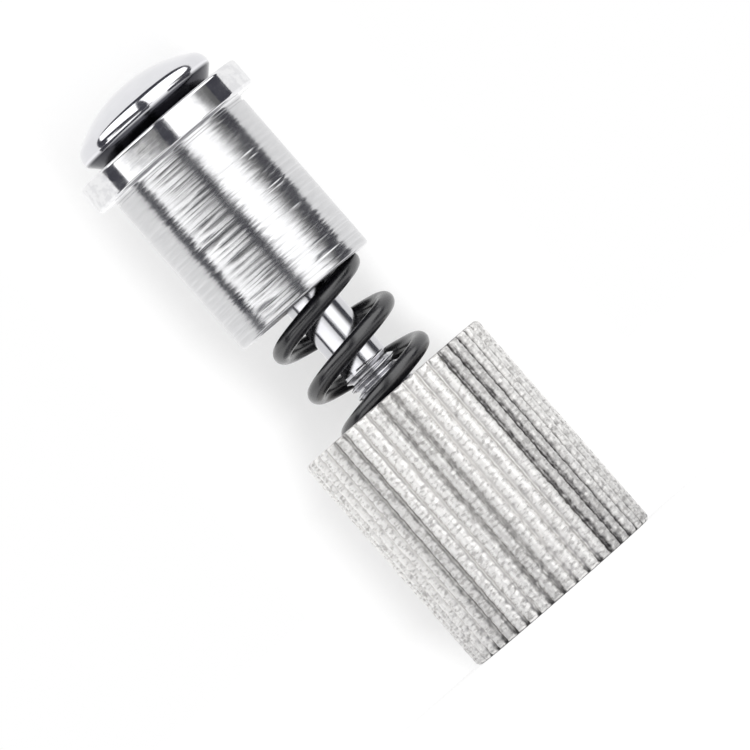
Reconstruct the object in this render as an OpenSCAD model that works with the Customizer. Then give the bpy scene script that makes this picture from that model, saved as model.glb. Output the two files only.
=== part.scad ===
// Hand grip strengthener with a sprung, flanged barrel on a threaded rod.
// It stands on the handle's flat end, with its axis along +Z and its origin on that end.

/* [Handle] */
// Length of the fluted handle
handle_len = 27.2; // [25:0.1:60]
// Diameter over the flutes' ridges
handle_d = 23.4; // [21:0.1:40]
// Number of rounded ridges round the handle
flute_count = 42; // [24:2:60]
// Radius of one ridge
flute_r = 0.95; // [0.6:0.05:1.6]
// Chamfer at both ends of the ridges
handle_edge = 0.55; // [0.2:0.05:1]
// Depth of the pocket that holds the spring's lower end
handle_pocket_depth = 4.7; // [3.5:0.1:8]

/* [Rod] */
// Outer diameter of the thread
thread_d = 6; // [5:0.1:8]
// Distance from one thread crest to the next
thread_pitch = 1; // [0.5:0.05:1.25]
// Thread that shows above the handle
thread_shown = 4.1; // [2.5:0.1:8]
// Height of the domed head
head_h = 5.4; // [4.5:0.1:8]
// Diameter of the domed head
head_d = 16.8; // [14:0.1:24]
// Radius of the head's crown
crown_r = 14.5; // [12:0.5:30]
// Radius of the head's rounded rim
rim_r = 1.55; // [1.2:0.05:2]

/* [Barrel] */
// Free space between the barrel and the handle
grip_gap = 13.3; // [12.5:0.1:20]
// Length of the barrel below its flange
barrel_len = 20.2; // [18:0.1:40]
// Wall of the barrel round the spring's pocket
barrel_wall = 1.2; // [0.8:0.1:4]
// How far the flange stands out from the barrel
flange_w = 1.9; // [1:0.1:6]
// Thickness of the flange
flange_t = 3.2; // [2:0.1:6]
// Chamfer on the flange's edges
flange_edge = 0.35; // [0.1:0.05:0.8]
// Depth of the pocket that holds the spring's upper end
barrel_pocket_depth = 5.5; // [3.5:0.1:8]
// Width and depth of the relief groove under the flange
relief = 0.35; // [0.2:0.05:0.6]

/* [Spring] */
// Thickness of the spring wire
wire_d = 1.9; // [1.3:0.05:2.1]
// Outer diameter of the spring
spring_od = 13.6; // [12:0.1:15]
// Turns between the two closed end turns
active_turns = 2.7; // [1.5:0.01:3.5]
// Direction in which the wire's lower end points, in degrees from +X
wire_start = 198; // [0:1:359]
// Gap between each end turn and the turn next to it
end_turn_gap = 0.45; // [0.42:0.01:0.8]
// Thickness of the washers that the spring presses on
washer_t = 0.8; // [0.5:0.1:1.5]

/* [Fittings] */
// Wall of the two guide bushes
bush_wall = 0.95; // [0.6:0.05:2]
// Length of one guide bush
bush_len = 6; // [4:0.5:8]
// Length of the threaded insert
insert_len = 10; // [7:0.5:14]
// Wall of the insert's body
insert_wall = 1.6; // [1.4:0.1:3]
// Thickness of the insert's shoulder
insert_shoulder_t = 1.6; // [1:0.1:3]
// Height of the lock ring
lock_ring_h = 1.3; // [0.8:0.1:3]
// Thickness of the retaining clip
clip_t = 0.6; // [0.4:0.1:1]
// How far the handle unscrews before the clip stops it
unscrew_travel = 2.25; // [2.2:0.05:4]
// Thickness of the end plug
plug_t = 2.5; // [1.5:0.1:4]
// Width of the end plug's edge that is pressed into the handle
plug_w = 0.5; // [0.3:0.1:2]

/* [Clearances] */
// Gap round the thread as the bushes pass over it
running_gap = 0.05; // [0.02:0.01:0.1]
// Gap round the thread in the insert
thread_gap = 0.03; // [0.01:0.01:0.1]
// Gap round a pressed piece
press_gap = 0.02; // [0.01:0.01:0.05]
// Gap round the spring in its pockets
pocket_gap = 0.5; // [0.3:0.1:1]
// Gap round the washers in the pockets
washer_gap = 0.3; // [0.2:0.1:0.6]
// Gap round the rod in plain clearance holes
hole_gap = 0.3; // [0.2:0.1:0.6]
// Gap between the spring's ends and their washers
seat_gap = 0.3; // [0.2:0.05:0.5]

/* [Hidden] */
$fn = 96;

// Heights along the axis, from the handle's flat end up
barrel_z = handle_len + grip_gap;
flange_z = barrel_z + barrel_len;
seat_z = flange_z + flange_t;
top_z = seat_z + head_h;
handle_floor_z = handle_len - handle_pocket_depth;
barrel_floor_z = barrel_z + barrel_pocket_depth;
lower_seat_z = handle_floor_z + washer_t;
upper_seat_z = barrel_floor_z - washer_t;
thread_top_z = handle_len + thread_shown;

// Pockets, the barrel round its pocket, washers and holes
pocket_r = spring_od / 2 + pocket_gap;
barrel_r = pocket_r + barrel_wall;
flange_r = barrel_r + flange_w;
washer_r = pocket_r - washer_gap;
hole_r = thread_d / 2 + hole_gap;

// Guide bushes slip over the thread when the unit is put together
bush_bore_r = thread_d / 2 + running_gap;
bush_r = bush_bore_r + bush_wall;
bush_inset = 0.2;

// Chamfer on turned edges, and how far joined shapes run into each other
edge = 0.25;
merge = 0.25;

// Insert, with a web of aluminium between it and the pocket
insert_web = 1;
shoulder_w = 0.8;
shoulder_gap = 0.1;
lock_ring_w = 1.1;
lock_ring_inset = 0.05;
insert_z = handle_floor_z - insert_web - insert_len;
insert_r = thread_d / 2 + insert_wall;
shoulder_r = insert_r + shoulder_w;
chamber_r = shoulder_r + shoulder_gap;
lock_ring_r = thread_d / 2 + lock_ring_w;

// Shank of a rolled thread has the thread's pitch diameter
shank_r = thread_d / 2 - 0.325 * thread_pitch;

// Rod's lower end, with the clip's groove and the land below it
clip_play = 0.05;
clip_overlap = 0.1;
clip_r = lock_ring_r + clip_overlap;
land_h = 1;
groove_depth = 0.6;
groove_top_z = insert_z - unscrew_travel + clip_play;
groove_z = groove_top_z - clip_t - 2 * clip_play;
rod_z = groove_z - land_h;
groove_r = shank_r - groove_depth;

// End plug, just inside the handle's flat end
plug_inset = 0.4;
plug_r = chamber_r + plug_w;
plug_top_z = plug_inset + plug_t;

// Thread form: depth and flats of a rolled metric thread
thread_depth = 0.6134 * thread_pitch;
crest_w = thread_pitch / 8;
root_w = thread_pitch / 4;

// Spring: closed end turns lie just clear of the next turn
coil_r = (spring_od - wire_d) / 2;
end_pitch = wire_d + end_turn_gap;
turns = active_turns + 2;
wire_z = lower_seat_z + seat_gap + wire_d / 2;
wire_rise = upper_seat_z - seat_gap - wire_d / 2 - wire_z;
active_pitch = (wire_rise - 2 * end_pitch) / active_turns;
ease = 0.125;
rings_per_turn = 8;
wire_sides = 6;

// Ramp that is 0 before x = 0 and x after it, eased over the corner
function ramp(x) = x < -ease ? 0 : x > ease ? x : (x + ease) * (x + ease) / (4 * ease);

// Height of the wire's centre after t turns
function wire_height(t) = wire_z + end_pitch * t
    + (active_pitch - end_pitch) * (ramp(t - 1) - ramp(t - turns + 1));

// Point on the wire's centre line after t turns
function wire_point(t) = let (a = wire_start + 360 * t)
    [coil_r * cos(a), coil_r * sin(a), wire_height(t)];

// Point j of the wire's section after t turns, in the upright plane through the axis
function wire_skin(t, j) = let (a = wire_start + 360 * t, b = 360 * j / wire_sides)
    wire_point(t) + wire_d / 2 * [cos(b) * cos(a), cos(b) * sin(a), sin(b)];

// Least gap between one turn and the next, measured on points along the centre line
gap_step = 1 / 24;
wire_gap = min([for (t = [0:gap_step:turns]) for (s = [t + 0.5:gap_step:turns])
    norm(wire_point(t) - wire_point(s))]) - wire_d;
echo(wire_gap = wire_gap);

module tube(z0, z1, inner_r, outer_r) {
    translate([0, 0, z0])
        difference() {
            cylinder(r = outer_r, h = z1 - z0);
            translate([0, 0, -1])
                cylinder(r = inner_r, h = z1 - z0 + 2);
        }
}

// Half profile of the domed head: crown, rounded rim, and a cone down to the seat
module head_profile() {
    rim_x = head_d / 2 - rim_r;
    crown_z = top_z - crown_r;
    rim_z = crown_z + sqrt(pow(crown_r - rim_r, 2) - rim_x * rim_x);
    rim_start = atan2(rim_z - crown_z, rim_x);
    rim_end = -60;
    seat_r = rim_x - 0.5;
    steps = 24;
    crown = [for (i = [1:steps]) let (a = 90 + (rim_start - 90) * i / steps)
        [crown_r * cos(a), crown_z + crown_r * sin(a)]];
    rim = [for (i = [1:steps]) let (a = rim_start + (rim_end - rim_start) * i / steps)
        [rim_x + rim_r * cos(a), rim_z + rim_r * sin(a)]];
    polygon(concat([[0, seat_z], [0, top_z]], crown, rim, [[seat_r, seat_z]]));
}

// Half profile of the thread as rings of the true depth and pitch
module thread_profile() {
    ring_count = floor((thread_top_z - groove_top_z) / thread_pitch);
    root_r = thread_d / 2 - thread_depth;
    flank_w = (thread_pitch - crest_w - root_w) / 2;
    crests = [for (i = [0:ring_count - 1]) let (z = thread_top_z - (i + 0.5) * thread_pitch)
        each [[root_r, z + crest_w / 2 + flank_w], [thread_d / 2, z + crest_w / 2],
              [thread_d / 2, z - crest_w / 2], [root_r, z - crest_w / 2 - flank_w]]];
    polygon(concat([[0, thread_top_z]], [[root_r, thread_top_z]], crests,
                   [[root_r, groove_top_z], [0, groove_top_z]]));
}

module headed_rod() {
    color("silver") {
        rotate_extrude() head_profile();
        translate([0, 0, thread_top_z])
            cylinder(r = shank_r, h = seat_z - thread_top_z + merge);
        rotate_extrude() thread_profile();
        translate([0, 0, groove_z - merge])
            cylinder(r = groove_r, h = groove_top_z - groove_z + 2 * merge);
        translate([0, 0, rod_z])
            cylinder(r1 = shank_r - edge, r2 = shank_r, h = edge);
        translate([0, 0, rod_z + edge])
            cylinder(r = shank_r, h = land_h - edge);
    }
}

module flanged_barrel() {
    r = barrel_r;
    relief_r = r - relief / 2;
    color("gainsboro")
        difference() {
            rotate_extrude()
                polygon([[0, barrel_z], [r - edge, barrel_z], [r, barrel_z + edge],
                         [r, flange_z - 2 * relief], [relief_r, flange_z - 2 * relief],
                         [relief_r, flange_z - relief], [r, flange_z - relief], [r, flange_z],
                         [flange_r - flange_edge, flange_z], [flange_r, flange_z + flange_edge],
                         [flange_r, seat_z - flange_edge], [flange_r - flange_edge, seat_z],
                         [0, seat_z]]);
            translate([0, 0, barrel_z - 1])
                cylinder(r = pocket_r, h = barrel_pocket_depth + 1);
            translate([0, 0, barrel_z])
                cylinder(r = bush_r + press_gap, h = barrel_len + flange_t + 1);
        }
}

module guide_bush(z) {
    color("darkgoldenrod")
        tube(z, z + bush_len, bush_bore_r, bush_r);
}

module upper_guide_bush() {
    guide_bush(seat_z - bush_inset - bush_len);
}

module lower_guide_bush() {
    guide_bush(barrel_floor_z + bush_inset);
}

module spring_washer(z) {
    color("slategray")
        tube(z, z + washer_t, hole_r, washer_r);
}

module upper_spring_washer() {
    spring_washer(upper_seat_z);
}

module lower_spring_washer() {
    spring_washer(handle_floor_z);
}

// One unbroken tube along the wire, closed by a flat face at each end
module coil_spring() {
    rings = ceil(turns * rings_per_turn);
    n = wire_sides;
    points = [for (i = [0:rings]) for (j = [0:n - 1]) wire_skin(turns * i / rings, j)];
    sides = [for (i = [0:rings - 1]) for (j = [0:n - 1]) let (a = i * n + j, b = i * n + (j + 1) % n)
        each [[a, b, b + n], [a, b + n, a + n]]];
    start_cap = [for (j = [1:n - 2]) [0, j + 1, j]];
    end_cap = [for (j = [1:n - 2]) [rings * n, rings * n + j, rings * n + j + 1]];
    color("dimgray")
        polyhedron(points, concat(sides, start_cap, end_cap));
}

// Ridges stand round the core, and one turned outline chamfers both ends
module handle_outline() {
    ridge_circle = handle_d / 2 - flute_r;
    linear_extrude(handle_len)
        union() {
            circle(r = ridge_circle);
            for (i = [0:flute_count - 1])
                rotate(i * 360 / flute_count)
                    translate([ridge_circle, 0])
                        circle(r = flute_r, $fn = 32);
        }
}

module handle_ends() {
    end_r = handle_d / 2 - handle_edge;
    outer_r = handle_d / 2 + merge;
    slope_h = handle_edge + merge;
    rotate_extrude()
        polygon([[0, 0], [end_r, 0], [outer_r, slope_h], [outer_r, handle_len - slope_h],
                 [end_r, handle_len], [0, handle_len]]);
}

module knurled_handle() {
    color("whitesmoke")
        difference() {
            intersection() {
                handle_outline();
                handle_ends();
            }
            translate([0, 0, handle_floor_z])
                cylinder(r = pocket_r, h = handle_pocket_depth + 1);
            translate([0, 0, insert_z])
                cylinder(r = hole_r, h = handle_len);
            translate([0, 0, insert_z])
                cylinder(r = insert_r + press_gap, h = insert_len);
            translate([0, 0, plug_inset])
                cylinder(r = chamber_r, h = insert_z + insert_shoulder_t - plug_inset);
            translate([0, 0, -1])
                cylinder(r = plug_r + press_gap, h = plug_top_z + 1);
        }
}

module threaded_insert() {
    color("gray")
        difference() {
            union() {
                translate([0, 0, insert_z])
                    cylinder(r = shoulder_r, h = insert_shoulder_t);
                translate([0, 0, insert_z])
                    cylinder(r = insert_r, h = insert_len);
            }
            translate([0, 0, insert_z - 1])
                cylinder(r = thread_d / 2 + thread_gap, h = insert_len + 2);
            translate([0, 0, insert_z - 1])
                cylinder(r = lock_ring_r + press_gap, h = lock_ring_h + 2 * lock_ring_inset + 1);
        }
}

module lock_ring() {
    z = insert_z + lock_ring_inset;
    color("royalblue")
        tube(z, z + lock_ring_h, thread_d / 2 + thread_gap, lock_ring_r);
}

// Open ring with three inward teeth that sit in the rod's groove
module retaining_clip() {
    bite_r = groove_r + clip_play;
    ring_w = 1;
    tooth_w = 1.6;
    mouth_w = 2 * bite_r;
    color("darkslategray")
        translate([0, 0, groove_z + clip_play])
            linear_extrude(clip_t)
                difference() {
                    union() {
                        difference() {
                            circle(r = clip_r);
                            circle(r = clip_r - ring_w);
                        }
                        for (a = [90:90:270])
                            rotate(a)
                                translate([0, -tooth_w / 2])
                                    square([clip_r - ring_w / 2, tooth_w]);
                    }
                    circle(r = bite_r);
                    translate([0, -mouth_w / 2])
                        square([2 * clip_r, mouth_w]);
                }
}

module end_plug() {
    color("black")
        rotate_extrude()
            polygon([[0, plug_inset], [plug_r - edge, plug_inset], [plug_r, plug_inset + edge],
                     [plug_r, plug_top_z - edge], [plug_r - edge, plug_top_z], [0, plug_top_z]]);
}

headed_rod();
flanged_barrel();
upper_guide_bush();
lower_guide_bush();
upper_spring_washer();
coil_spring();
lower_spring_washer();
knurled_handle();
threaded_insert();
lock_ring();
retaining_clip();
end_plug();
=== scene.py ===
import bmesh
import bpy
import math
import random
from mathutils import Matrix, Vector, noise


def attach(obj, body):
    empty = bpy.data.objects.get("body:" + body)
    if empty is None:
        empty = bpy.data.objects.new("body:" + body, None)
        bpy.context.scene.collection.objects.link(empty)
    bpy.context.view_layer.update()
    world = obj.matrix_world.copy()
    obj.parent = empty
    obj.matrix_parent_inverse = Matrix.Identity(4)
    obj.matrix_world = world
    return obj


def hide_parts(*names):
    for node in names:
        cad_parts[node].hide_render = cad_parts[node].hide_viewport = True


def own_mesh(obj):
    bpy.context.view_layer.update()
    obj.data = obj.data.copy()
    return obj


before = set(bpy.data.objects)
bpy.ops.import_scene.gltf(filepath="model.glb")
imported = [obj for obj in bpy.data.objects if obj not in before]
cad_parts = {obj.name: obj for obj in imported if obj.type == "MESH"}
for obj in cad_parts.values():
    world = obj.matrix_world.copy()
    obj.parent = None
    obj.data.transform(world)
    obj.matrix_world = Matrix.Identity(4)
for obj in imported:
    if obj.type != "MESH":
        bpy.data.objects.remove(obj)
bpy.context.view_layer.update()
mm = 0.001


# Modelling helpers

def clearSelection():
    bpy.ops.object.select_all(action="DESELECT")
    bpy.context.view_layer.objects.active = None


def startPoint(name, place):
    # one vertex, to pull an outline out of
    clearSelection()
    bpy.ops.mesh.primitive_plane_add(size=mm)
    piece = bpy.context.active_object
    piece.name = piece.data.name = name
    bpy.ops.object.mode_set(mode="EDIT")
    bpy.ops.mesh.select_mode(type="VERT")
    bpy.ops.mesh.merge(type="CENTER")
    bpy.ops.transform.translate(value=place)
    return piece


def startRing(name, corners, radius, height):
    clearSelection()
    bpy.ops.mesh.primitive_circle_add(vertices=corners, radius=radius * mm, location=(0, 0, height * mm))
    bpy.ops.object.transform_apply(location=True, rotation=True, scale=True)
    piece = bpy.context.active_object
    piece.name = piece.data.name = name
    bpy.ops.object.mode_set(mode="EDIT")
    bpy.ops.mesh.select_mode(type="VERT")
    bpy.ops.mesh.select_all(action="SELECT")
    return piece


def turnRings(last, profile):
    # each ring is pulled out of the last one, and scaled to its own radius
    for radius, height in profile:
        bpy.ops.mesh.extrude_region_move(TRANSFORM_OT_translate={"value": (0, 0, (height - last[1]) * mm)})
        scale = radius / last[0]
        bpy.ops.transform.resize(value=(scale, scale, 1), center_override=(0, 0, height * mm))
        last = (radius, height)


def selectWhere(piece, test):
    # selects the vertices that pass the test, by their place in mm
    mesh = bmesh.from_edit_mesh(piece.data)
    for corner in mesh.verts:
        corner.select = test(corner.co / mm)
    mesh.select_flush(True)
    mesh.select_flush(False)
    bmesh.update_edit_mesh(piece.data)


def moveSelected(piece, place):
    # place gives the new position in mm of each selected vertex
    mesh = bmesh.from_edit_mesh(piece.data)
    for corner in mesh.verts:
        if corner.select:
            corner.co = Vector(place(corner.co / mm)) * mm
    bmesh.update_edit_mesh(piece.data)


def selectRim(piece, low, high, radius, level):
    # selects the open edge that lies between two heights, and trues it to a circle at one level
    bpy.ops.mesh.select_all(action="DESELECT")
    bpy.ops.mesh.select_non_manifold(extend=False)
    mesh = bmesh.from_edit_mesh(piece.data)
    for corner in mesh.verts:
        corner.select = corner.select and low * mm < corner.co.z < high * mm
    mesh.select_flush(False)
    mesh.select_flush(True)
    bmesh.update_edit_mesh(piece.data)
    moveSelected(piece, lambda place: (*(place.xy.normalized() * radius), level))


def finishPiece(piece, body, material, node, smoothAngle=32):
    bpy.ops.mesh.select_all(action="SELECT")
    bpy.ops.mesh.remove_doubles(threshold=0.001 * mm)
    bpy.ops.mesh.normals_make_consistent(inside=False)
    bpy.ops.object.mode_set(mode="OBJECT")
    bpy.ops.object.shade_smooth_by_angle(angle=math.radians(smoothAngle))
    piece.data.materials.clear()
    piece.data.materials.append(material)
    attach(piece, body)
    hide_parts(node)
    print(piece.name, len(piece.data.polygons), "faces")


def arcPoint(centre, radius, angle):
    a = math.radians(angle)
    return (centre[0] + radius * math.cos(a), centre[1] + radius * math.sin(a))


def arcPoints(centre, radius, start, end, steps):
    # points after the first one, as (radius, height)
    return [arcPoint(centre, radius, start + (end - start) * i / steps) for i in range(1, steps + 1)]


# Material helpers

def toLinear(hexColour):
    parts = [int(hexColour[i:i + 2], 16) / 255 for i in (0, 2, 4)]
    return [p / 12.92 if p <= 0.04045 else ((p + 0.055) / 1.055) ** 2.4 for p in parts] + [1]


def linkTo(tree, node, links):
    # a link comes from a socket, or from the first socket in use of a node
    for key, source in links.items():
        if hasattr(source, "outputs"):
            source = next(socket for socket in source.outputs if socket.enabled)
        tree.links.new(source, node.inputs[key])


def addNode(tree, kind, settings={}, links={}):
    # a setting is one of the node's own or an input's value, and text for an input is a hex colour
    node = tree.nodes.new(kind)
    for key, value in settings.items():
        if isinstance(key, str) and hasattr(node, key):
            setattr(node, key, value)
        else:
            node.inputs[key].default_value = toLinear(value) if isinstance(value, str) else value
    linkTo(tree, node, links)
    return node


def newMaterial(name, settings):
    material = bpy.data.materials.new(name)
    material.use_nodes = True
    tree = material.node_tree
    shader = tree.nodes["Principled BSDF"]
    for key, value in settings.items():
        shader.inputs[key].default_value = value
    return material, tree, shader


def patternAt(tree, size, detail=2, stretch=(1, 1, 1)):
    # size is the pattern's real size in mm, and stretch makes it longer along an axis
    place = addNode(tree, "ShaderNodeTexCoord").outputs["Object"]
    scale = [1 / (size * mm * s) for s in stretch]
    sized = addNode(tree, "ShaderNodeMapping", {"Scale": scale}, {"Vector": place})
    return addNode(tree, "ShaderNodeTexNoise", {"Scale": 1, "Detail": detail}, {"Vector": sized})


def sidesOn(tree):
    place = addNode(tree, "ShaderNodeTexCoord").outputs["Object"]
    return addNode(tree, "ShaderNodeSeparateXYZ", {}, {"Vector": place}).outputs


def azimuthOn(tree):
    # degrees round the rod, from the front side towards +X
    right, back = sidesOn(tree)[0:2]
    front = addNode(tree, "ShaderNodeMath", {"operation": "MULTIPLY", 1: -1}, {0: back})
    angle = addNode(tree, "ShaderNodeMath", {"operation": "ARCTAN2"}, {0: right, 1: front})
    return addNode(tree, "ShaderNodeMath", {"operation": "DEGREES"}, {0: angle})


def bandOn(tree, low, high, source=None):
    # 0 below the one distance in mm and 1 past the other: up the rod, unless another source is given
    return addNode(tree, "ShaderNodeMapRange", {1: low * mm, 2: high * mm}, {0: source or sidesOn(tree)[2]})


# Materials. Sizes, depths and heights are in mm, and a pattern is its size, detail and stretch. The pairs under 6 and 7
# and under 3 and 4 are the colours and the roughness where the pattern is low and where it is high

usualSpan = {1: 0.3, 2: 0.7}  # most of a pattern's values lie between these
colourMix = {"data_type": "RGBA"}

chromeLook = {
    "shankLow": (31, 31.6), "seat": (63.9, 64.0), "headLow": (65.2, 65.5),
    "threadRough": 0.26, "shankRough": 0.15, "headRough": {3: 0.08, 4: 0.13},
    # the last colour is painted shade for the underside of the head
    "shank": {6: "c6c6ca", 7: "d6d6d9"}, "head": {6: "dadade", 7: "e8e8eb"}, "underHeadShade": "45454a",
    "smears": (2.2, 3), "hairlines": (0.12, 2, (14, 14, 1)), "hairlineDepth": 0.0006,
}


def makePolishedChrome(s):
    # Chrome plate: the buffed head is a mirror, the drawn shank softer, the rolled thread satin, and the
    # underside of the head, which the buff doesn't reach, darkened with painted shade for the shadowed gap above the
    # flange
    material, tree, shader = newMaterial("polishedChrome", {"Metallic": 1})
    smears = patternAt(tree, *s["smears"])
    hairlines = patternAt(tree, *s["hairlines"])  # real ones are finer and wouldn't show
    head = bandOn(tree, *s["headLow"])
    below = addNode(tree, "ShaderNodeMix", {2: s["threadRough"], 3: s["shankRough"]}, {0: bandOn(tree, *s["shankLow"])})
    buffed = addNode(tree, "ShaderNodeMapRange", {1: 0.3, 2: 0.75, **s["headRough"]}, {0: smears})
    rough = addNode(tree, "ShaderNodeMix", {}, {0: head, 2: below, 3: buffed})
    # painted shade: the head's underside, from the seat up to the rim, takes a dark colour for the shadowed gap above
    # the flange
    shadedUnderside = addNode(tree, "ShaderNodeMath", {"operation": "SUBTRACT"}, {0: bandOn(tree, *s["seat"]), 1: head})
    drawn = addNode(tree, "ShaderNodeMix", {**colourMix, **s["shank"]}, {0: smears})
    bright = addNode(tree, "ShaderNodeMix", {**colourMix, **s["head"]}, {0: smears})
    plate = addNode(tree, "ShaderNodeMix", colourMix, {0: head, 6: drawn, 7: bright})
    colour = addNode(tree, "ShaderNodeMix", {**colourMix, 7: s["underHeadShade"]}, {0: shadedUnderside, 6: plate})
    bump = addNode(tree, "ShaderNodeBump", {"Distance": s["hairlineDepth"] * mm}, {"Height": hairlines})
    linkTo(tree, shader, {"Base Color": colour, "Roughness": rough, "Normal": bump})
    return material


steelLook = {
    "flangeLow": (60.4, 60.7), "sleeve": {6: "cbcbcd", 7: "d9d9da"}, "flange": {6: "e2e2e4", 7: "eeeeef"},
    "sleeveRough": {3: 0.16, 4: 0.23}, "flangeRough": {3: 0.07, 4: 0.15}, "flangeMarks": 0.12,
    "broad": (0.6, 2, (6, 6, 1)), "broadDepth": 0.009, "fine": (0.17, 3, (22, 22, 1)), "fineDepth": 0.0055,
    "patches": (3, 2, (1.5, 1.5, 1)), "smudges": (0.75, 3, (1.8, 1.8, 1)), "smears": (1.1, 3, (1.8, 1.8, 1)),
    "streaks": (0.24, 2, (9, 9, 1)), "streakTurn": 0.033,
}


def makeTurnedSteel(s):
    # Bright steel from the lathe: fine streaks all round break up each reflection, and the flange is polished
    material, tree, shader = newMaterial("turnedSteel", {"Metallic": 1})
    fine, broad, patches, smears, smudges, streaks = (
        patternAt(tree, *s[name]) for name in ("fine", "broad", "patches", "smears", "smudges", "streaks"))
    flange = bandOn(tree, *s["flangeLow"])
    sleeve = addNode(tree, "ShaderNodeMix", {**colourMix, **s["sleeve"]}, {0: broad})
    smudged = addNode(tree, "ShaderNodeMapRange", {1: 0.42, 2: 0.58}, {0: smudges})
    polished = addNode(tree, "ShaderNodeMix", {**colourMix, **s["flange"]}, {0: smudged})
    colour = addNode(tree, "ShaderNodeMix", colourMix, {0: flange, 6: sleeve, 7: polished})
    satin = addNode(tree, "ShaderNodeMapRange", {**usualSpan, **s["sleeveRough"]}, {0: patches})
    buffed = addNode(tree, "ShaderNodeMapRange", {1: 0.35, 2: 0.7, **s["flangeRough"]}, {0: smears})
    rough = addNode(tree, "ShaderNodeMix", {}, {0: flange, 2: satin, 3: buffed})
    depth = addNode(tree, "ShaderNodeMapRange", {3: 1, 4: s["flangeMarks"]}, {0: flange})
    # the tool marks also turn the skin a little to the left and right, a streak at a time
    most = s["streakTurn"]
    turn = addNode(tree, "ShaderNodeMapRange", {1: 0.25, 2: 0.75, 3: -most, 4: most}, {0: streaks})
    turn = addNode(tree, "ShaderNodeMath", {"operation": "MULTIPLY"}, {0: turn, 1: depth})
    normal = addNode(tree, "ShaderNodeNewGeometry").outputs["Normal"]
    around = addNode(tree, "ShaderNodeVectorMath", {"operation": "CROSS_PRODUCT", 0: (0, 0, 1)}, {1: normal})
    shift = addNode(tree, "ShaderNodeVectorMath", {"operation": "SCALE"}, {0: around, "Scale": turn})
    turned = addNode(tree, "ShaderNodeVectorMath", {"operation": "ADD"}, {0: normal, 1: shift})
    bump = addNode(tree, "ShaderNodeVectorMath", {"operation": "NORMALIZE"}, {0: turned})
    for marks, deep in ((broad, s["broadDepth"]), (fine, s["fineDepth"])):
        bump = addNode(tree, "ShaderNodeBump", {"Distance": deep * mm},
                       {"Height": marks, "Strength": depth, "Normal": bump})
    linkTo(tree, shader, {"Base Color": colour, "Roughness": rough, "Normal": bump})
    return material


blastedLook = {
    "ridge": (11.3, 11.47), "rounding": (11.0, 11.1), "foot": (0.2, 1.2), "unevenness": 0.07, "shadeReach": 0.05,
    # painted shade: the second flute colour, the foot's colour and the skin's dark colour stand in for shadow and dark
    # reflections
    "flute": {6: "dad8d6", 7: "5e5c5c"}, "footShade": "4c4b4b", "skin": {6: "c6c4c2", 7: "fbfaf8"}, "skinShade": "8e8c8b",
    "fluteRough": 0.28, "skinRough": {3: 0.36, 4: 0.48}, "skinMetal": 0.55,
    "pebbles": (0.36, 3, (1.5, 1.5, 0.85)), "pebbleDepth": 0.05,  # real beads leave finer dents than can show here
    "scales": (0.42, 3, (1.6, 1.6, 0.8)), "mottle": (0.75, 3), "patches": (0.55, 2),
    "turnedRings": 0.16, "turnedDepth": 0.01,
    # painted shade on stretches round the handle, as centre and half width in degrees, and how dark
    "paintedShade": ((-39, 10, 0.55), (-4, 10, 0.65), (43, 15, 1), (70, 16, 0.5), (118, 12, 0.7), (165, 9, 0.6),
             (-112, 11, 0.7)),
}


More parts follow.
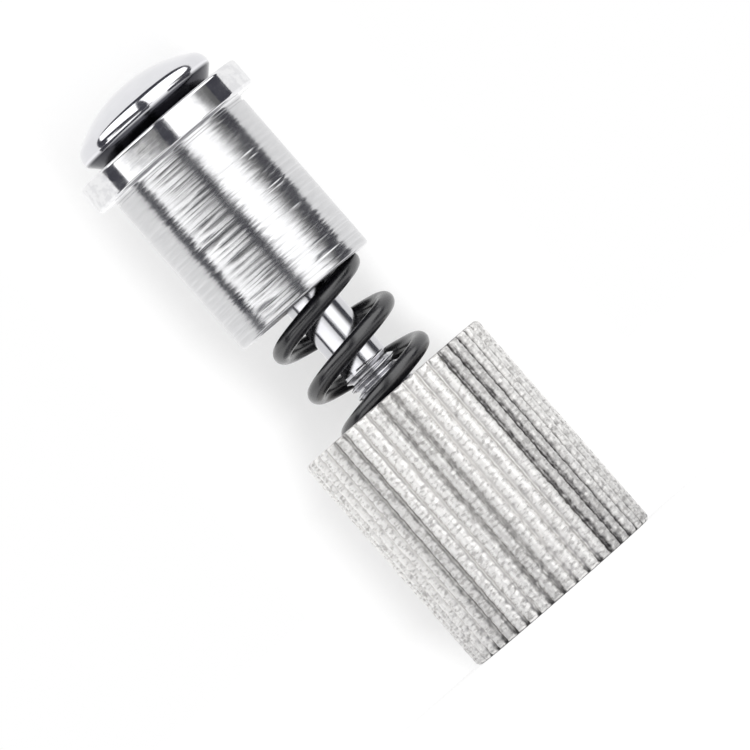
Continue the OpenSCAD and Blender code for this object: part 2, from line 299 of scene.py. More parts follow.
def makeBlastedAluminium(s):
    # Aluminium, bead blasted and brightened: near white with a pebbled skin on the ridges, smoother metal where
    # the beads don't reach in the flutes, painted shade in some flutes and at their lower ends, and turned rings on the
    # ends
    material, tree, shader = newMaterial("blastedAluminium", {})
    pebbles, scales, mottle, patches = (
        patternAt(tree, *s[name]) for name in ("pebbles", "scales", "mottle", "patches"))
    place = addNode(tree, "ShaderNodeTexCoord").outputs["Object"]
    flat = addNode(tree, "ShaderNodeVectorMath", {"operation": "MULTIPLY", 1: (1, 1, 0)}, {0: place})
    radius = addNode(tree, "ShaderNodeVectorMath", {"operation": "LENGTH"}, {0: flat}).outputs["Value"]
    azimuth = azimuthOn(tree)
    # painted shade round the handle, strongest at each stretch's centre, for dark reflections and shadow in the flutes
    paintedShade = None
    for centre, half, amount in s["paintedShade"]:
        away = addNode(tree, "ShaderNodeMath", {"operation": "SUBTRACT", 1: centre}, {0: azimuth})
        away = addNode(tree, "ShaderNodeMath", {"operation": "ABSOLUTE"}, {0: away})
        stretch = addNode(tree, "ShaderNodeMapRange", {1: 0.55 * half, 2: half, 3: amount, 4: 0}, {0: away})
        paintedShade = addNode(tree, "ShaderNodeMath", {"operation": "MAXIMUM"}, {0: stretch, 1: paintedShade}) if paintedShade else stretch
    patchy = addNode(tree, "ShaderNodeMapRange", {1: 0.35, 2: 0.6, 3: 0.45}, {0: patches})
    for share in (patchy, bandOn(tree, *s["rounding"], radius)):
        paintedShade = addNode(tree, "ShaderNodeMath", {"operation": "MULTIPLY"}, {0: paintedShade, 1: share})
    # the line between ridge and flute is uneven, and lies farther out where shade is painted
    most = s["unevenness"] * mm
    uneven = addNode(tree, "ShaderNodeMapRange", {**usualSpan, 3: -most, 4: most}, {0: mottle})
    shadeOutward = addNode(tree, "ShaderNodeMapRange", {4: -s["shadeReach"] * mm}, {0: paintedShade})
    depth = radius
    for shift in (uneven, shadeOutward):
        depth = addNode(tree, "ShaderNodeMath", {"operation": "ADD"}, {0: depth, 1: shift})
    ridge = bandOn(tree, *s["ridge"], depth)
    # the flutes take the painted shade
    flute = addNode(tree, "ShaderNodeMix", {**colourMix, **s["flute"]}, {0: paintedShade})
    # painted shade at the flutes' lower ends, darkest at the foot, for the shadowed ends of the flutes
    flute = addNode(tree, "ShaderNodeMix", {**colourMix, 6: s["footShade"]}, {0: bandOn(tree, *s["foot"]), 7: flute})
    scaly = addNode(tree, "ShaderNodeMapRange", {1: 0.34, 2: 0.52}, {0: scales})
    skin = addNode(tree, "ShaderNodeMix", {**colourMix, **s["skin"]}, {0: scaly})
    # the ridges' skin takes half of the painted shade
    skinShadeShare = addNode(tree, "ShaderNodeMapRange", {4: 0.5}, {0: paintedShade})
    skin = addNode(tree, "ShaderNodeMix", {**colourMix, 7: s["skinShade"]}, {0: skinShadeShare, 6: skin})
    colour = addNode(tree, "ShaderNodeMix", colourMix, {0: ridge, 6: flute, 7: skin})
    metal = addNode(tree, "ShaderNodeMapRange", {3: 1, 4: s["skinMetal"]}, {0: ridge})
    blasted = addNode(tree, "ShaderNodeMapRange", {**usualSpan, **s["skinRough"]}, {0: mottle})
    rough = addNode(tree, "ShaderNodeMix", {2: s["fluteRough"]}, {0: ridge, 3: blasted})
    # turned rings, where the skin faces up or down
    out = addNode(tree, "ShaderNodeCombineXYZ", {}, {0: radius})
    sized = addNode(tree, "ShaderNodeVectorMath", {"operation": "SCALE", "Scale": 1 / (s["turnedRings"] * mm)},
                    {0: out})
    turned = addNode(tree, "ShaderNodeTexNoise", {"Scale": 1, "Detail": 2}, {"Vector": sized})
    facing = addNode(tree, "ShaderNodeNewGeometry").outputs["Normal"]
    facing = addNode(tree, "ShaderNodeSeparateXYZ", {}, {0: facing}).outputs[2]
    level = addNode(tree, "ShaderNodeMath", {"operation": "ABSOLUTE"}, {0: facing})
    ends = addNode(tree, "ShaderNodeMapRange", {1: 0.9, 2: 0.99}, {0: level})
    rings = addNode(tree, "ShaderNodeBump", {"Distance": s["turnedDepth"] * mm}, {"Height": turned, "Strength": ends})
    blast = addNode(tree, "ShaderNodeMapRange", {3: 0.35}, {0: ridge})
    dents = addNode(tree, "ShaderNodeBump", {"Distance": s["pebbleDepth"] * mm},
                    {"Height": pebbles, "Strength": blast, "Normal": rings})
    linkTo(tree, shader, {"Base Color": colour, "Metallic": metal, "Roughness": rough, "Normal": dents})
    return material


plainLooks = {
    # Spring wire blackened with hot oxide: satin black, with soft grey highlights and a slightly rubbed skin
    "blackOxideSteel": {
        "shader": {"IOR": 1.8}, "mottle": (1.4, 3), "colour": {6: "101013", 7: "1a1a1f"}, "rough": {3: 0.2, 4: 0.31},
        "grain": (0.09, 2), "grainDepth": 0.002},
    # Oil-filled sintered bronze: dull brown gold, peppered with fine pores
    "sinteredBronze": {
        "shader": {"Metallic": 1}, "mottle": (0.12, 3), "colour": {6: "7d5a32", 7: "b98d55"},
        "rough": {3: 0.5, 4: 0.34}, "grain": (0.12, 3), "grainDepth": 0.008},
    # Steel with clear zinc plate: cool satin grey with small crystals
    "zincPlatedSteel": {
        "shader": {"Metallic": 1}, "mottle": (0.5, 4), "colour": {6: "a6a9ae", 7: "c4c7cb"},
        "rough": {3: 0.26, 4: 0.4}, "grain": (0.15, 2, (1, 1, 12)), "grainDepth": 0.002},
    # Moulded nylon: a faint waxy mottle on a soft, slightly rough skin
    "blueNylon": {
        "shader": {"IOR": 1.53}, "mottle": (0.8, 2), "colour": {6: "1c3f8c", 7: "2850a8"},
        "rough": {3: 0.42, 4: 0.56}, "grain": (0.1, 2), "grainDepth": 0.004},
    "blackNylon": {
        "shader": {"IOR": 1.53}, "mottle": (0.8, 2), "colour": {6: "151515", 7: "222222"},
        "rough": {3: 0.42, 4: 0.56}, "grain": (0.1, 2), "grainDepth": 0.004},
}


def makePlainFinish(name, s):
    # a mottle in colour and gloss, over a fine grain
    material, tree, shader = newMaterial(name, s["shader"])
    mottle, grain = patternAt(tree, *s["mottle"]), patternAt(tree, *s["grain"])
    colour = addNode(tree, "ShaderNodeMix", {**colourMix, **s["colour"]}, {0: mottle})
    rough = addNode(tree, "ShaderNodeMapRange", {**usualSpan, **s["rough"]}, {0: mottle})
    bump = addNode(tree, "ShaderNodeBump", {"Distance": s["grainDepth"] * mm}, {"Height": grain})
    linkTo(tree, shader, {"Base Color": colour, "Roughness": rough, "Normal": bump})
    return material


polishedChrome = makePolishedChrome(chromeLook)
turnedSteel = makeTurnedSteel(steelLook)
blastedAluminium = makeBlastedAluminium(blastedLook)
plainFinishes = {name: makePlainFinish(name, look) for name, look in plainLooks.items()}
print("materials made")


# Rod: thread, shank and domed head in one piece

rodSizes = {
    "corners": 120, "threadR": 3.0, "rootR": 2.387, "pitch": 1.0, "threadTop": 31.3, "threadLow": 9.3,
    "runOut": 0.9, "runOutPower": 0.7, "shankR": 2.675, "grooveR": 2.075, "grooveLow": 8.6, "end": 7.6, "endEdge": 0.25,
    "neckR": 0.35, "seat": 63.9, "seatR": 6.35, "underEnd": (7.2, 64.08), "underRings": 6,
    "rimAt": (6.85, 65.79), "rimR": 1.55, "rimStart": -25, "rimEnd": 58,
    "crownAt": (0, 54.8), "crownR": 14.5, "crownEnd": 89, "headRings": 26,
    # one thread's section from root to root, as shares of the pitch and of the depth
    "section": ((0, 0), (0.09, 0), (0.14, 0.03), (0.415, 0.97), (0.45, 1), (0.55, 1), (0.585, 0.97), (0.86, 0.03),
                (0.91, 0), (1, 0)),
}


def makeRod(s):
    # one thread's section is drawn, then wound up the rod from below the thread's end
    depth = s["threadR"] - s["rootR"]
    points = [(s["rootR"] + depth * out, z * s["pitch"]) for z, out in s["section"]]
    low = s["threadLow"] - 1.5
    piece = startPoint("domed_rod", (points[0][0] * mm, 0, low * mm))
    for (r0, z0), (r1, z1) in zip(points, points[1:]):
        bpy.ops.mesh.extrude_region_move(TRANSFORM_OT_translate={"value": ((r1 - r0) * mm, 0, (z1 - z0) * mm)})
    bpy.ops.object.mode_set(mode="OBJECT")
    winding = piece.modifiers.new("winding", "SCREW")
    winding.screw_offset = s["pitch"] * mm
    winding.iterations = int((s["threadTop"] - low) / s["pitch"]) + 2
    winding.steps = winding.render_steps = s["corners"]
    winding.use_merge_vertices = True
    winding.merge_threshold = 0.0005 * mm
    bpy.ops.object.modifier_apply(modifier="winding")
    bpy.ops.object.mode_set(mode="EDIT")
    for height, upper in ((s["threadTop"], True), (s["threadLow"], False)):
        bpy.ops.mesh.select_all(action="SELECT")
        bpy.ops.mesh.bisect(plane_co=(0, 0, height * mm), plane_no=(0, 0, 1), clear_outer=upper,
                            clear_inner=not upper)
    bpy.ops.mesh.select_all(action="SELECT")
    bpy.ops.mesh.remove_doubles(threshold=0.004 * mm)

    def fade(place):
        # the thread runs out into the shank at both ends
        radius = math.hypot(place.x, place.y)
        share = min(1, (s["threadTop"] - place.z) / s["runOut"], (place.z - s["threadLow"]) / s["runOut"])
        share = max(0, share) ** s["runOutPower"]
        wanted = s["shankR"] + (radius - s["shankR"]) * share
        return (place.x * wanted / radius, place.y * wanted / radius, place.z)

    moveSelected(piece, fade)
    selectRim(piece, s["threadTop"] - 1, s["threadTop"] + 1, s["shankR"], s["threadTop"])
    # shank and neck, with rings close to each end that keep the shading flat between them
    top, seat, neck = s["threadTop"], s["seat"], s["neckR"]
    profile = [(s["shankR"], z) for z in (top + 0.08, top + 0.3, seat - 0.6, seat - 0.42, seat - neck)]
    profile += arcPoints((s["shankR"] + neck, seat - neck), neck, 180, 90, 4)
    # the head's flat seat, its cone, rim and crown
    profile += [(s["seatR"], seat), (s["seatR"] + 0.45, seat), s["underEnd"]]
    cone = tuple(zip(s["underEnd"], arcPoint(s["rimAt"], s["rimR"], s["rimStart"])))
    profile += [tuple(a + (b - a) * i / s["underRings"] for a, b in cone) for i in range(1, s["underRings"] + 1)]
    profile += arcPoints(s["rimAt"], s["rimR"], s["rimStart"], s["rimEnd"], s["headRings"])
    profile += arcPoints(s["crownAt"], s["crownR"], s["rimEnd"], s["crownEnd"], s["headRings"])
    turnRings((s["shankR"], top), profile)
    bpy.ops.mesh.merge(type="CENTER")
    domeTop = s["crownAt"][1] + s["crownR"]
    selectWhere(piece, lambda place: abs(place.z - domeTop) < 0.01 and place.xy.length < 0.2)
    moveSelected(piece, lambda place: (0, 0, domeTop))
    selectRim(piece, s["threadLow"] - 1, s["threadLow"] + 1, s["shankR"], s["threadLow"])
    turnRings((s["shankR"], s["threadLow"]), [
        (s["grooveR"], s["threadLow"] - 0.01), (s["grooveR"], s["grooveLow"]), (s["shankR"], s["grooveLow"] - 0.01),
        (s["shankR"], s["end"] + s["endEdge"]), (s["shankR"] - s["endEdge"], s["end"]), (0.3, s["end"])])
    bpy.ops.mesh.merge(type="CENTER")
    finishPiece(piece, "rod", polishedChrome, "headed_rod")


makeRod(rodSizes)
print("rod made")


# Barrel: turned outside, with tool rings, and bored for the spring and the bushes

barrelSizes = {
    "corners": 192, "low": 40.5, "r": 8.5, "pocketR": 7.3, "pocketTop": 46.0, "pocketEdge": 0.3,
    "boreR": 4.02, "boreEdge": 0.25,
    "flangeLow": 60.7, "flangeR": 10.4, "top": 63.9, "edge": 0.25, "flangeEdge": 0.35,
    "reliefLow": 60.0, "reliefTop": 60.35, "reliefDepth": 0.17,
    "ringGap": (0.25, 0.85), "ringDepth": (0.004, 0.013), "ringHalf": (0.055, 0.09), "seed": 11,
    "deepRings": {42.3: 0.02, 54.9: 0.01, 55.5: 0.013}, "deepHalf": 0.085, "smoothAbove": 56.5, "smoothShare": 0.5,
    "waver": 0.045, "waverRound": 2.2, "waverUp": 1.3,
}


def makeBarrel(s):
    # tool rings up the wall, some of them deep
    chance = random.Random(s["seed"])
    r = s["r"]
    wall = []
    z = s["low"] + s["edge"] + 0.06
    while z < s["reliefLow"] - 0.6:
        z += chance.uniform(*s["ringGap"])
        depth, half = chance.uniform(*s["ringDepth"]), chance.uniform(*s["ringHalf"])
        for deepAt in s["deepRings"]:
            if abs(z - deepAt) < 0.3 and (not wall or wall[-1][1] < deepAt - 0.12):
                z, depth, half = deepAt, s["deepRings"][deepAt], s["deepHalf"]
        if z > s["smoothAbove"]:
            depth *= s["smoothShare"]
        if z + half < s["reliefLow"] - 0.2:
            wall += [(r, z - half), (r - depth, z - 0.3 * half), (r - depth, z + 0.3 * half), (r, z + half)]
            z += half
    # the pocket, the lower end and the wall
    edge, pocketEdge = s["edge"], s["pocketEdge"]
    profile = [(s["pocketR"] - pocketEdge, s["pocketTop"])]
    profile += arcPoints((s["pocketR"] - pocketEdge, s["pocketTop"] - pocketEdge), pocketEdge, 90, 0, 4)
    profile += [(s["pocketR"], s["low"] + 0.25), (s["pocketR"] + 0.2, s["low"] + 0.02), (s["pocketR"] + 0.25, s["low"])]
    profile += [(r - edge, s["low"])] + arcPoints((r - edge, s["low"] + edge), edge, -90, 0, 5)
    profile += wall
    # the relief groove and the flange, with rings near the corners that keep its rim's shading flat
    profile += [(r, s["reliefLow"]), (r - s["reliefDepth"], s["reliefLow"] + 0.06),
                (r - s["reliefDepth"], s["reliefTop"] - 0.06), (r, s["reliefTop"])]
    profile += [(r, s["flangeLow"] - 0.12)] + arcPoints((r + 0.12, s["flangeLow"] - 0.12), 0.12, 180, 90, 4)
    flangeR, rounding = s["flangeR"], s["flangeEdge"]
    low, high = s["flangeLow"] + rounding, s["top"] - rounding
    rim = [(flangeR, z) for z in (low + 0.06, low + 0.2, high - 0.2, high - 0.06)]
    for height, start, after in ((low, -90, rim), (high, 0, [])):
        corner = (flangeR - rounding, height)
        profile += [arcPoint(corner, rounding, start)] + arcPoints(corner, rounding, start, start + 90, 6) + after
    profile += [(s["boreR"] + s["boreEdge"], s["top"]), (s["boreR"], s["top"] - s["boreEdge"]),
                (s["boreR"], s["pocketTop"])]
    piece = startRing("turned_barrel", s["corners"], s["boreR"], s["pocketTop"])
    turnRings((s["boreR"], s["pocketTop"]), profile)

    def waver(place):
        # the tool lines waver a little as they go round, and come and go
        share = min(1, max(0, (place.z - s["low"] - 1) / 0.6), max(0, (s["reliefLow"] - 0.5 - place.z) / 0.6))
        around = math.atan2(place.y, place.x)
        spot = Vector((s["waverRound"] * math.cos(around), s["waverRound"] * math.sin(around), place.z / s["waverUp"]))
        lift = s["waver"] * share * noise.noise(spot)
        depth = max(0, r - place.xy.length) * (0.5 - noise.noise(spot * 1.7)) * share
        return (*(place.xy.normalized() * (place.xy.length + 0.8 * depth)), place.z + lift)

    selectWhere(piece, lambda place: place.xy.length > r - 0.05 and s["low"] + 0.9 < place.z < s["reliefLow"] - 0.3)
    moveSelected(piece, waver)
    finishPiece(piece, "barrel", turnedSteel, "flanged_barrel", smoothAngle=25)


makeBarrel(barrelSizes)
print("barrel made")


# Spring: one wire, wound right-handed, with a closed turn at each end

springSizes = {
    "wireR": 0.95, "coilR": 5.85, "low": 24.55, "high": 43.95, "start": 198, "turns": 4.7,
    "endPitch": 2.35, "ease": 0.125, "sides": 24, "stepsPerTurn": 72,
}


def makeSpring(s):
    pitch = (s["high"] - s["low"] - 2 * s["endPitch"]) / (s["turns"] - 2)

    def ramp(x):
        # 0, then x, eased from the one into the other
        return 0 if x < -s["ease"] else x if x > s["ease"] else (x + s["ease"]) ** 2 / (4 * s["ease"])

    def wireAt(t):
        angle = math.radians(s["start"] + 360 * t)
        height = s["low"] + s["endPitch"] * t + (pitch - s["endPitch"]) * (ramp(t - 1) - ramp(t - s["turns"] + 1))
        return Vector((s["coilR"] * math.cos(angle), s["coilR"] * math.sin(angle), height))

    # the section is pulled along the wire, a step at a time, and then set square to it
    steps = int(s["turns"] * s["stepsPerTurn"])
    piece = startRing("wound_spring", s["sides"], s["wireR"], 0)
    for i in range(steps):
        bpy.ops.mesh.extrude_region_move()
    bpy.ops.object.mode_set(mode="OBJECT")
    for i in range(steps + 1):
        t = s["turns"] * i / steps
        centre = wireAt(t)
        along = (wireAt(t + 0.001) - wireAt(t - 0.001)).normalized()
        out = Vector((centre.x, centre.y, 0)).normalized()
        up = out.cross(along) * -1
        for j in range(s["sides"]):
            turn = 2 * math.pi * j / s["sides"]
            piece.data.vertices[i * s["sides"] + j].co = (
                centre + s["wireR"] * (math.cos(turn) * out + math.sin(turn) * up)) * mm
    bpy.ops.object.mode_set(mode="EDIT")
    # both ends are closed with a flat face
    bpy.ops.mesh.select_all(action="DESELECT")
    bpy.ops.mesh.select_non_manifold(extend=False)
    bpy.ops.mesh.edge_face_add()
    bpy.ops.mesh.select_mode(type="FACE")
    wire = plainFinishes["blackOxideSteel"]
    finishPiece(piece, "lower_seat", wire, "coil_spring", smoothAngle=50)
    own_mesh(piece)


makeSpring(springSizes)
print("spring made")


# Handle: rounded flutes all round, a pebbled skin, and bores for the spring, insert and plug

handleSizes = {
    "flutes": 42, "ridgeAt": 10.75, "ridgeR": 0.95, "perFlute": 12, "top": 27.2, "edge": 0.55, "rings": 150,
    "flute": 0.43, "crown": 0.25, "flankAt": 0.3, "flankWidth": 0.56, "jag": 0.14, "sway": 0.009, "ripple": 0.035,
    # sizes of the unevenness, round the outline and up it
    "swaySize": (0.9, 0.42), "jagSize": (0.55, 0.4), "broadSize": (1.1, 0.75), "fineSize": (0.42, 0.36), "skinR": 11.4,
    "pocketR": 7.3, "pocketLow": 22.5, "pocketEdge": 0.25, "holeR": 3.3, "insertTop": 21.5, "insertR": 4.62,
    "chamberTop": 13.1, "chamberR": 5.5, "plugR": 6.02, "plugTop": 2.9, "plugEdge": 0.3,
}


def makeHandle(s):
    # one ridge's arc is drawn from valley to valley, then spun round into the whole outline
    half = math.pi / s["flutes"]
    side = half + math.asin(s["ridgeAt"] * math.sin(half) / s["ridgeR"])
    arc = []
    for i in range(s["perFlute"] + 1):
        a = side * (2 * i / s["perFlute"] - 1)
        arc.append(Vector((s["ridgeAt"] + s["ridgeR"] * math.cos(a), s["ridgeR"] * math.sin(a), 0)))
    piece = startPoint("fluted_handle", arc[0] * mm)
    for first, second in zip(arc, arc[1:]):
        bpy.ops.mesh.extrude_region_move(TRANSFORM_OT_translate={"value": (second - first) * mm})
    bpy.ops.mesh.select_all(action="SELECT")
    bpy.ops.mesh.spin(steps=s["flutes"], dupli=True, angle=2 * math.pi, center=(0, 0, 0), axis=(0, 0, 1))
    bpy.ops.mesh.select_all(action="SELECT")
    bpy.ops.mesh.remove_doubles(threshold=0.01 * mm)

    def skin(place, height):
        # rounded at both ends, and uneven all over as the blasted metal is
        around = math.atan2(place.y, place.x)
        x, y = s["skinR"] * math.cos(around), s["skinR"] * math.sin(around)

        def bumps(size, shiftX=0, shiftY=0):
            return noise.noise(Vector((x / size[0] + shiftX, y / size[0] + shiftY, height / size[1])))

        sway = s["sway"] * bumps(s["swaySize"])
        off = around - 2 * half * round(around / (2 * half))
        away = min(1, abs(off + sway * (1 - abs(off / half) ** 4)) / half)
        flank = min(1, max(0, (away - s["flankAt"] - s["jag"] * bumps(s["jagSize"], 0, 5)) / s["flankWidth"]))
        drop = s["crown"] * away ** 2 + (1 - s["crown"]) * flank ** 2 * (3 - 2 * flank)
        radius = s["ridgeAt"] + s["ridgeR"] - s["flute"] * drop
        near = 1 - min(1, height / s["edge"], (s["top"] - height) / s["edge"])
        limit = s["ridgeAt"] + s["ridgeR"] - s["edge"] * (1 - math.sqrt(1 - near ** 2))
        broad, fine = bumps(s["broadSize"]), bumps(s["fineSize"], 9)
        radius = min(radius, limit) + s["ripple"] * (0.7 * broad + 0.6 * fine - 0.4)
        return (radius * math.cos(around), radius * math.sin(around), height)

    # a ring at a time, from the lower end to the top
    edgeSteps = [s["edge"] * (1 - math.cos(math.radians(90 * i / 5))) for i in range(6)]
    heights = edgeSteps + [s["edge"] + (s["top"] - 2 * s["edge"]) * i / s["rings"] for i in range(1, s["rings"])]
    heights += [s["top"] - step for step in reversed(edgeSteps)]
    moveSelected(piece, lambda place: skin(place, 0))
    for height in heights[1:]:
        bpy.ops.mesh.extrude_region_move()
        moveSelected(piece, lambda place: skin(place, height))
    # the inside: top face, pocket, hole, insert's bore, chamber and plug's bore
    inside = [(s["pocketR"] + s["pocketEdge"], s["top"]), (s["pocketR"], s["top"] - s["pocketEdge"]),
              (s["pocketR"], s["pocketLow"]), (s["holeR"], s["pocketLow"]), (s["holeR"], s["insertTop"]),
              (s["insertR"], s["insertTop"]), (s["insertR"], s["chamberTop"]), (s["chamberR"], s["chamberTop"]),
              (s["chamberR"], s["plugTop"]), (s["plugR"], s["plugTop"]), (s["plugR"], s["plugEdge"]),
              (s["plugR"] + s["plugEdge"], 0)]
    for radius, height in inside:
        bpy.ops.mesh.extrude_region_move()
        moveSelected(piece, lambda place: (*(place.xy.normalized() * radius), height))
    bpy.ops.mesh.select_all(action="DESELECT")
    bpy.ops.mesh.select_non_manifold(extend=False)
    bpy.ops.mesh.bridge_edge_loops()
    finishPiece(piece, "handle", blastedAluminium, "knurled_handle", smoothAngle=60)


makeHandle(handleSizes)
print("handle made")


# Inner pieces keep their shape and get their finish

innerFinishes = {
    "upper_guide_bush": "sinteredBronze", "lower_guide_bush": "sinteredBronze",
    "upper_spring_washer": "zincPlatedSteel", "lower_spring_washer": "zincPlatedSteel",
    "threaded_insert": "zincPlatedSteel", "retaining_clip": "zincPlatedSteel",
    "lock_ring": "blueNylon", "end_plug": "blackNylon",
}
for name, finish in innerFinishes.items():
    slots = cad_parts[name].data.materials
    slots.clear()
    slots.append(plainFinishes[finish])
print("inner pieces finished")


# Studio: pale floor and card, and softboxes, mats and a dark surround that only show in the metal. Lengths in m

# the shade fades out from the first distance to the second, and each row of "drawnIn" makes it narrower: the axis, from
# and to where on it, and by how much at both
floorLook = {
    "size": 8, "across": (1, 1, 0), "shade": (0.016, 0.06), "nearShare": 0.6, "light": 1.12, "drawnIn": (),
    "clearBack": False,
}
cardLook = {
    "y": 0.0123, "half": 0.022, "top": 0.09, "turn": -2,
    "across": (1, 0, 0), "shade": (0.0112, 0.0182), "nearShare": 0.4, "light": 1.06, "clearBack": True,
    "drawnIn": (
        (2, 0.023, 0.032, 0, 0.0038),  # above the handle
        (2, 0, 0.007, 0.003, 0),  # at the handle's foot
        (2, 0.036, 0.045, 0, -0.0014),  # a little less beside the barrel
        (0, -0.004, 0.008, 0, 0.0045)),  # on the lit side
}

lightLook = {
    "softboxLight": 1.75, "softboxAway": 0.5, "level": 0.05, "lowest": 0.002,
    "dim": 0.08,  # the share of its light that a softbox keeps where it has faded
    "cloud": (35, 2), "cloudShift": 2,  # the cloth's clouds in mm, and how far they shift the fade, in degrees
    "worldSeen": 1.0, "worldSoft": 0.8, "blackCloth": "46464d",  # with a touch of blue
}
surroundSizes = {"radius": 0.75, "lean": 14, "turn": 0.087, "openAt": 0.09}

# each mat's inner and outer radius, first and last azimuth, and colour
mats = (
    (0.16, 0.7, -95, 10, "46464d"),
    (0.16, 0.7, 44, 95, "46464d"),
    (0.0, 0.06, 0, 360, "8e8e92"),
)

# corners as (azimuth, elevation), azimuth from the camera's side and to the right
softboxes = {
    "rightSoftbox": ((17, -6), (76, -6), (76, 6), (96, 15), (102, 32), (8, 72), (11, 25), (11, 3.3), (8, 2.5), (8, 0.2),
                     (17, -0.6)),
    "leftLowSoftbox": ((-76, -6), (-5, -6), (-5, 12), (-70, 12), (-70, 0.3), (-76, -0.4)),
    "leftHighSoftbox": ((-83, 24), (-6, 22), (-7, 80), (-104, 46)),
}

# where each low softbox fades, in degrees, and how far that shifts: from and to which height, and degrees at both
fades = {
    "rightSoftbox": ((44, 66), ((0.0722, 0.0765, -6, 4), (0.11, 0.16, 0, -80))),
    "leftLowSoftbox": ((-30, -2), ((0.028, 0.030, 0, -52), (0.0485, 0.050, 0, 52), (0.0722, 0.0765, 0, 42))),
}


def seenDirectly(tree):
    # 1 for what the camera, a mirror or glass sees, and 0 for light that falls on the object
    rays = addNode(tree, "ShaderNodeLightPath").outputs
    seen = rays["Is Camera Ray"]
    for kind in ("Is Glossy Ray", "Is Transmission Ray"):
        seen = addNode(tree, "ShaderNodeMath", {"operation": "MAXIMUM"}, {0: seen, 1: rays[kind]})
    return seen


def emptyMaterial(name):
    material = bpy.data.materials.new(name)
    material.use_nodes = True
    material.node_tree.nodes.clear()
    return material, material.node_tree


def makePaleSurface(name, s):
    # Matt white board: takes the object's soft shadow close by, and reads white farther off
    material, tree = emptyMaterial(name)
    place = addNode(tree, "ShaderNodeTexCoord").outputs["Object"]
    flat = addNode(tree, "ShaderNodeVectorMath", {"operation": "MULTIPLY", 1: s["across"]}, {0: place})
    away = addNode(tree, "ShaderNodeVectorMath", {"operation": "LENGTH"}, {0: flat})
    sides = sidesOn(tree)
    for axis, low, high, toLow, toHigh in s["drawnIn"]:
        shift = addNode(tree, "ShaderNodeMapRange", {1: low, 2: high, 3: toLow, 4: toHigh}, {0: sides[axis]})
        away = addNode(tree, "ShaderNodeMath", {"operation": "ADD"}, {0: away, 1: shift})
    start, end = s["shade"]
    share = addNode(tree, "ShaderNodeMapRange", {
        "interpolation_type": "SMOOTHSTEP", 1: start, 2: end, 3: s["nearShare"]}, {0: away})
    share = addNode(tree, "ShaderNodeMath", {"operation": "MULTIPLY"}, {0: share, 1: seenDirectly(tree)})
    board = addNode(tree, "ShaderNodeBsdfDiffuse", {"Color": "f2f2f2"})
    glow = addNode(tree, "ShaderNodeEmission", {"Strength": s["light"]})
    surface = addNode(tree, "ShaderNodeMixShader", {}, {0: share, 1: board, 2: glow})
    if s["clearBack"]:
        back = addNode(tree, "ShaderNodeNewGeometry").outputs["Backfacing"]
        clear = addNode(tree, "ShaderNodeBsdfTransparent")
        surface = addNode(tree, "ShaderNodeMixShader", {}, {0: back, 1: surface, 2: clear})
    addNode(tree, "ShaderNodeOutputMaterial", {}, {"Surface": surface})
    return material


def makeCloth(name, colour, strength, fade=None):
    # glows evenly, or is a little cloudy and fades from one azimuth to another
    material, tree = emptyMaterial(name)
    glow = addNode(tree, "ShaderNodeEmission", {"Color": colour, "Strength": strength})
    if fade:
        (bright, dark), shifts = fade
        dim, drift = lightLook["dim"] * strength, lightLook["cloudShift"]
        azimuth, height, cloud = azimuthOn(tree), sidesOn(tree)[2], patternAt(tree, *lightLook["cloud"])
        moves = [addNode(tree, "ShaderNodeMapRange", {**usualSpan, 3: -drift, 4: drift}, {0: cloud})]
        for low, high, toLow, toHigh in shifts:
            moves.append(addNode(tree, "ShaderNodeMapRange", {1: low, 2: high, 3: toLow, 4: toHigh}, {0: height}))
        for shift in moves:
            azimuth = addNode(tree, "ShaderNodeMath", {"operation": "ADD"}, {0: azimuth, 1: shift})
        fading = addNode(tree, "ShaderNodeMapRange", {1: bright, 2: dark, 3: strength, 4: dim}, {0: azimuth})
        linkTo(tree, glow, {"Strength": fading})
    addNode(tree, "ShaderNodeOutputMaterial", {}, {"Surface": glow})
    return material


def onlyShines(thing, diffuse):
    thing.visible_camera = thing.visible_transmission = thing.visible_shadow = False
    thing.visible_diffuse = diffuse


def makeSoftbox(name, corners, material):
    clearSelection()
    away, level, lowest = lightLook["softboxAway"], lightLook["level"], lightLook["lowest"]
    bpy.ops.mesh.primitive_circle_add(vertices=len(corners), radius=0.1, fill_type="NGON")
    softbox = bpy.context.active_object
    softbox.name = name
    for corner, (azimuth, elevation) in zip(softbox.data.vertices, corners):
        a, e = math.radians(azimuth), math.radians(elevation)
        corner.co = (away * math.sin(a) * math.cos(e), -away * math.cos(a) * math.cos(e),
                     max(lowest, level + away * math.sin(e)))
    softbox.data.materials.append(material)
    onlyShines(softbox, True)
    return softbox


def makeMat(name, inner, outer, start, end, material):
    # part of a flat ring that lies on the floor
    first, last = math.radians(start), math.radians(end)
    out = Vector((math.sin(first), -math.cos(first), 0))
    mat = startPoint(name, out * inner + Vector((0, 0, 0.3 * mm)))
    bpy.ops.mesh.extrude_region_move(TRANSFORM_OT_translate={"value": out * (outer - inner)})
    bpy.ops.mesh.select_all(action="SELECT")
    bpy.ops.mesh.spin(steps=48, angle=first - last, center=(0, 0, 0), axis=(0, 0, 1))
    bpy.ops.object.mode_set(mode="OBJECT")
    mat.data.materials.append(material)
    onlyShines(mat, False)
    return mat


def makeFloor(s):
    clearSelection()
    bpy.ops.mesh.primitive_plane_add(size=s["size"])
    floor = bpy.context.active_object
    floor.name = "floor"
    floor.data.materials.append(makePaleSurface("paleFloor", s))
    return floor


def makeCard(s):
    clearSelection()
    bpy.ops.mesh.primitive_plane_add(size=1, rotation=(math.radians(90), 0, 0))
    bpy.ops.transform.resize(value=(2 * s["half"], 1, s["top"]), center_override=(0, 0, 0))
    bpy.ops.transform.translate(value=(0, s["y"], s["top"] / 2))
    card = bpy.context.active_object
    card.name = "card"
    card.rotation_euler.z = math.radians(s["turn"])  # from the side, it shows its clear back
    bpy.ops.object.transform_apply(location=True, rotation=True, scale=True)
    card.data.materials.append(makePaleSurface("paleCard", s))
    card.visible_diffuse = card.visible_glossy = card.visible_transmission = card.visible_shadow = False
    return card


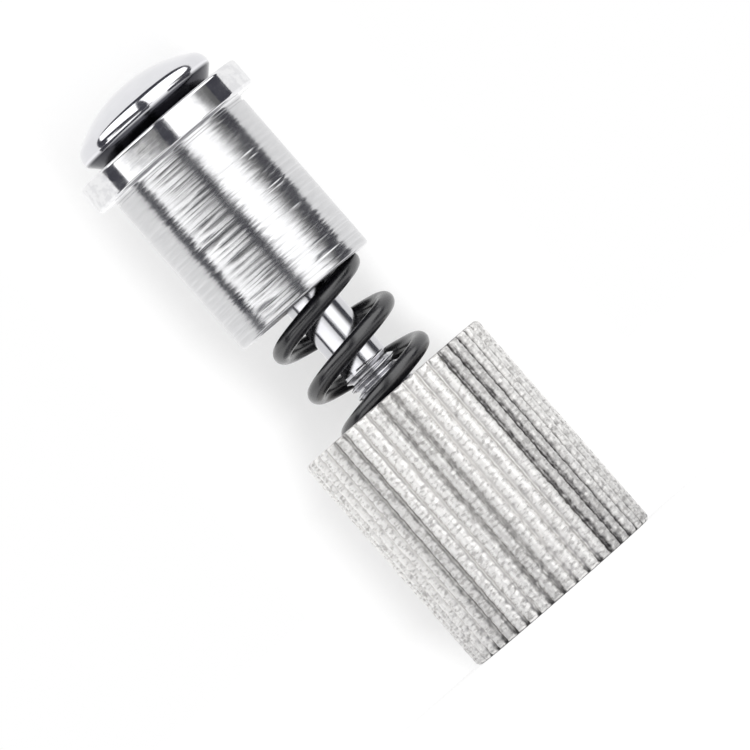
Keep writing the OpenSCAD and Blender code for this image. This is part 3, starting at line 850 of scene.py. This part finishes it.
def makeSurround(s):
    # a ball, cut open in a leaning plane on the far side and at the floor
    clearSelection()
    bpy.ops.mesh.primitive_uv_sphere_add(segments=64, ring_count=32, radius=s["radius"])
    surround = bpy.context.active_object
    surround.name = "surround"
    bpy.ops.object.mode_set(mode="EDIT")
    lean = math.radians(s["lean"])
    facing = (-s["turn"], math.cos(lean), -math.sin(lean))
    bpy.ops.mesh.bisect(plane_co=(-s["radius"], 0, s["openAt"]), plane_no=facing, clear_outer=True)
    bpy.ops.mesh.select_all(action="SELECT")
    bpy.ops.mesh.bisect(plane_co=(0, 0, 0.001), plane_no=(0, 0, 1), clear_inner=True)
    bpy.ops.object.mode_set(mode="OBJECT")
    surround.data.materials.append(makeCloth("blackCloth", lightLook["blackCloth"], 1))
    onlyShines(surround, False)
    return surround


def makeWorld(s):
    world = bpy.data.worlds.new("studio")
    bpy.context.scene.world = world
    world.use_nodes = True
    tree = world.node_tree
    tree.nodes.clear()
    soft = addNode(tree, "ShaderNodeBackground", {"Strength": s["worldSoft"]})
    seen = addNode(tree, "ShaderNodeBackground", {"Color": "ffffff", "Strength": s["worldSeen"]})
    mixed = addNode(tree, "ShaderNodeMixShader", {}, {0: seenDirectly(tree), 1: soft, 2: seen})
    addNode(tree, "ShaderNodeOutputWorld", {}, {"Surface": mixed})


floor, card, surround = makeFloor(floorLook), makeCard(cardLook), makeSurround(surroundSizes)
for i, (inner, outer, start, end, colour) in enumerate(mats):
    cloth = makeCloth("matCloth" + str(i + 1), colour, 1)
    makeMat("mat" + str(i + 1), inner, outer, start, end, cloth)
cloths = {name: makeCloth(name + "Cloth", "ffffff", lightLook["softboxLight"], fades.get(name)) for name in softboxes}
for name, corners in softboxes.items():
    makeSoftbox(name, corners, cloths[name])
makeWorld(lightLook)
print("studio made")


# Camera: square to the rod, with a long lens, rolled so that the head points up and to the left

cameraSizes = {
    "distance": 1.2, "height": 0.020, "aim": (0, 0, 0.0297), "roll": 41.1, "width": 0.0773, "sensor": 36,
}


def makeCamera(s):
    data = bpy.data.cameras.new("camera")
    camera = bpy.data.objects.new("camera", data)
    bpy.context.scene.collection.objects.link(camera)
    place, aim = Vector((0, -s["distance"], s["height"])), Vector(s["aim"])
    data.sensor_width = s["sensor"]
    data.lens = s["sensor"] * (aim - place).length / s["width"]
    back = (place - aim).normalized()
    roll = math.radians(s["roll"])
    up = Vector((math.sin(roll), 0, math.cos(roll)))
    right = up.cross(back).normalized()
    up = back.cross(right)
    camera.matrix_world = Matrix((right, up, back)).transposed().to_4x4()
    camera.location = place
    bpy.context.scene.camera = camera


makeCamera(cameraSizes)
bpy.context.scene.view_settings.view_transform = "Standard"

print("scene ready")
